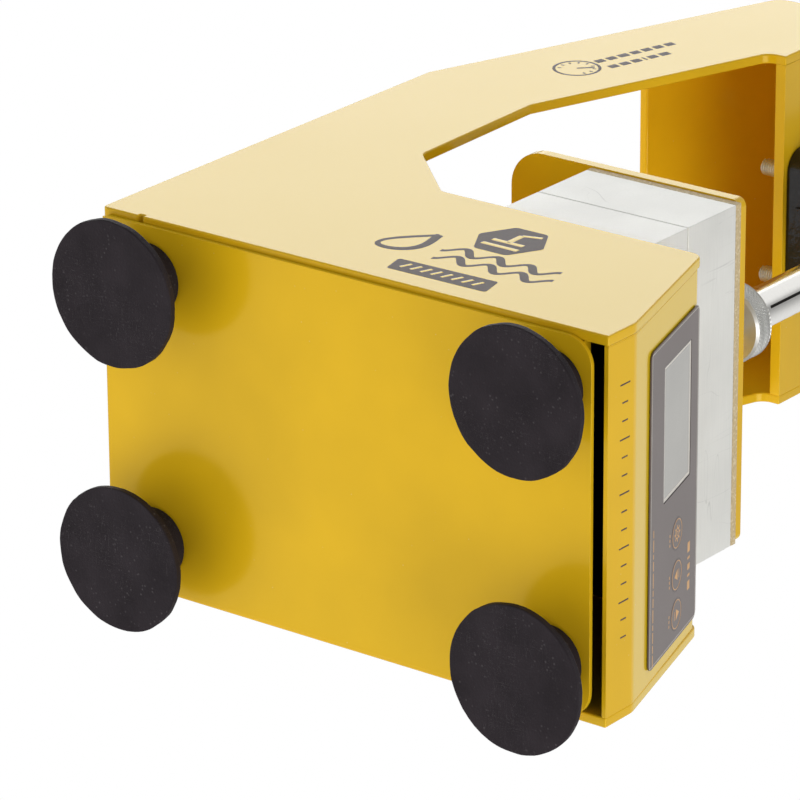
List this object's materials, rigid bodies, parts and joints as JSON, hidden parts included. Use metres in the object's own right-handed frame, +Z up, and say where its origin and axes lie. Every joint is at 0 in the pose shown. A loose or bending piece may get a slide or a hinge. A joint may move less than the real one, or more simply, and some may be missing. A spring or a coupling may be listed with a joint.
{
  "type": "heated bench press",
  "caption": "Small hand-lever bench press: C-shaped sheet frame, two heated aluminium plates, toggle clamp with a sliding plunger, control panel and rubber feet.",
  "frame": {"origin": "middle of the press's box, at the underside of the feet", "axes": "+Z up along the plunger, +Y from the control panel to the back, +X to the right seen from the panel"},
  "size_m": [0.1416, 0.216, 0.403],
  "materials": {
    "yellow_paint": "satin powder coat, slightly textured",
    "aluminium": "milled and brushed, light scratches",
    "zinc_steel": "zinc plated",
    "chrome_rod": "polished chrome",
    "black_casting": "gloss black paint on cast iron",
    "foot_rubber": "dull, dusty",
    "grip_rubber": "moulded grip",
    "insulation": "pressed fibre sheet",
    "overlay": "satin membrane",
    "display": "grey reflective display",
    "circuit_board": "solder mask",
    "black_plastic": "moulded, fine grain",
    "lead_sleeve": "braided sleeve"
  },
  "bodies": {
    "frame": {"side_plate_left": "yellow_paint", "side_plate_right": "yellow_paint", "front_cover": "yellow_paint", "base_top_plate": "yellow_paint", "base_back_plate": "yellow_paint", "bottom_plate": "yellow_paint", "front_rail": "yellow_paint", "rear_rail": "yellow_paint", "head_front_plate": "yellow_paint", "head_back_cover": "yellow_paint", "lower_platen": "aluminium", "lever_pin": "zinc_steel", "clamp_bolt_lower_left": "zinc_steel", "clamp_bolt_lower_right": "zinc_steel", "clamp_bolt_upper_left": "zinc_steel", "clamp_bolt_upper_right": "zinc_steel", "foot_stud_front_left": "zinc_steel", "foot_stud_front_right": "zinc_steel", "foot_stud_rear_left": "zinc_steel", "foot_stud_rear_right": "zinc_steel", "lower_heater_left": "zinc_steel", "lower_heater_right": "zinc_steel", "lower_sensor": "zinc_steel", "clamp_body": "black_casting", "foot_front_left": "foot_rubber", "foot_front_right": "foot_rubber", "foot_rear_left": "foot_rubber", "foot_rear_right": "foot_rubber", "lead_grommet": "foot_rubber", "lower_insulation": "insulation", "control_overlay": "overlay", "lcd_display": "display", "display_board": "circuit_board", "lower_terminal_cover": "black_plastic", "power_inlet": "black_plastic", "switch_body": "black_plastic", "power_module": "black_plastic", "upper_lead": "lead_sleeve"},
    "lever": {"lever": "zinc_steel", "lever_grip": "grip_rubber", "crank_pin": "zinc_steel"},
    "links": {"link_left": "zinc_steel", "link_right": "zinc_steel"},
    "plunger": {"plunger_rod": "chrome_rod", "rod_pin": "zinc_steel", "threaded_stud": "zinc_steel", "carrier_nut": "zinc_steel", "carrier_plate": "yellow_paint", "upper_insulation": "insulation", "upper_platen": "aluminium", "upper_heater_left": "zinc_steel", "upper_heater_right": "zinc_steel", "upper_sensor": "zinc_steel", "upper_terminal_cover": "black_plastic"},
    "ring_nut": {"ring_nut": "zinc_steel"},
    "button_set": {"button_set": "overlay"},
    "button_down": {"button_down": "overlay"},
    "button_up": {"button_up": "overlay"},
    "power_rocker": {"power_rocker": "black_plastic"}
  },
  "joints": [
    {"name": "lever_pivot", "type": "hinge", "parent": "frame", "child": "lever", "pos_m": [0, -0.0215, 0.392], "axis": [-1, 0, 0], "range_deg": [0, 110]},
    {"name": "plunger_slide", "type": "slide", "parent": "frame", "child": "plunger", "axis": [0, 0, 1], "range_m": [0, 0.0306], "deforming": ["upper_lead"]},
    {"name": "link_pivot", "type": "hinge", "parent": "lever", "child": "links", "pos_m": [0, -0.0215, 0.372], "axis": [1, 0, 0], "range_deg": [0, 132.2]},
    {"name": "ring_nut_turn", "type": "hinge", "parent": "plunger", "child": "ring_nut", "pos_m": [0, -0.0215, 0.1985], "axis": [0, 0, 1], "range_deg": [-180, 180]},
    {"name": "button_set_press", "type": "slide", "parent": "frame", "child": "button_set", "axis": [0, 0.957, -0.2902], "range_m": [0, 0.0006], "stiffness_N_per_m": 1500, "springref_m": -0.0004},
    {"name": "button_down_press", "type": "slide", "parent": "frame", "child": "button_down", "axis": [0, 0.957, -0.2902], "range_m": [0, 0.0006], "stiffness_N_per_m": 1500, "springref_m": -0.0004},
    {"name": "button_up_press", "type": "slide", "parent": "frame", "child": "button_up", "axis": [0, 0.957, -0.2902], "range_m": [0, 0.0006], "stiffness_N_per_m": 1500, "springref_m": -0.0004},
    {"name": "power_rocker_tip", "type": "hinge", "parent": "frame", "child": "power_rocker", "pos_m": [0.028, 0.102, 0.062], "axis": [-1, 0, 0], "range_deg": [0, 16]}
  ],
  "couplings": [
    {"joint": "plunger_slide", "follows": "lever_pivot", "m_per_rad": 0.01589},
    {"joint": "link_pivot", "follows": "lever_pivot", "ratio": 1.2007}
  ]
}
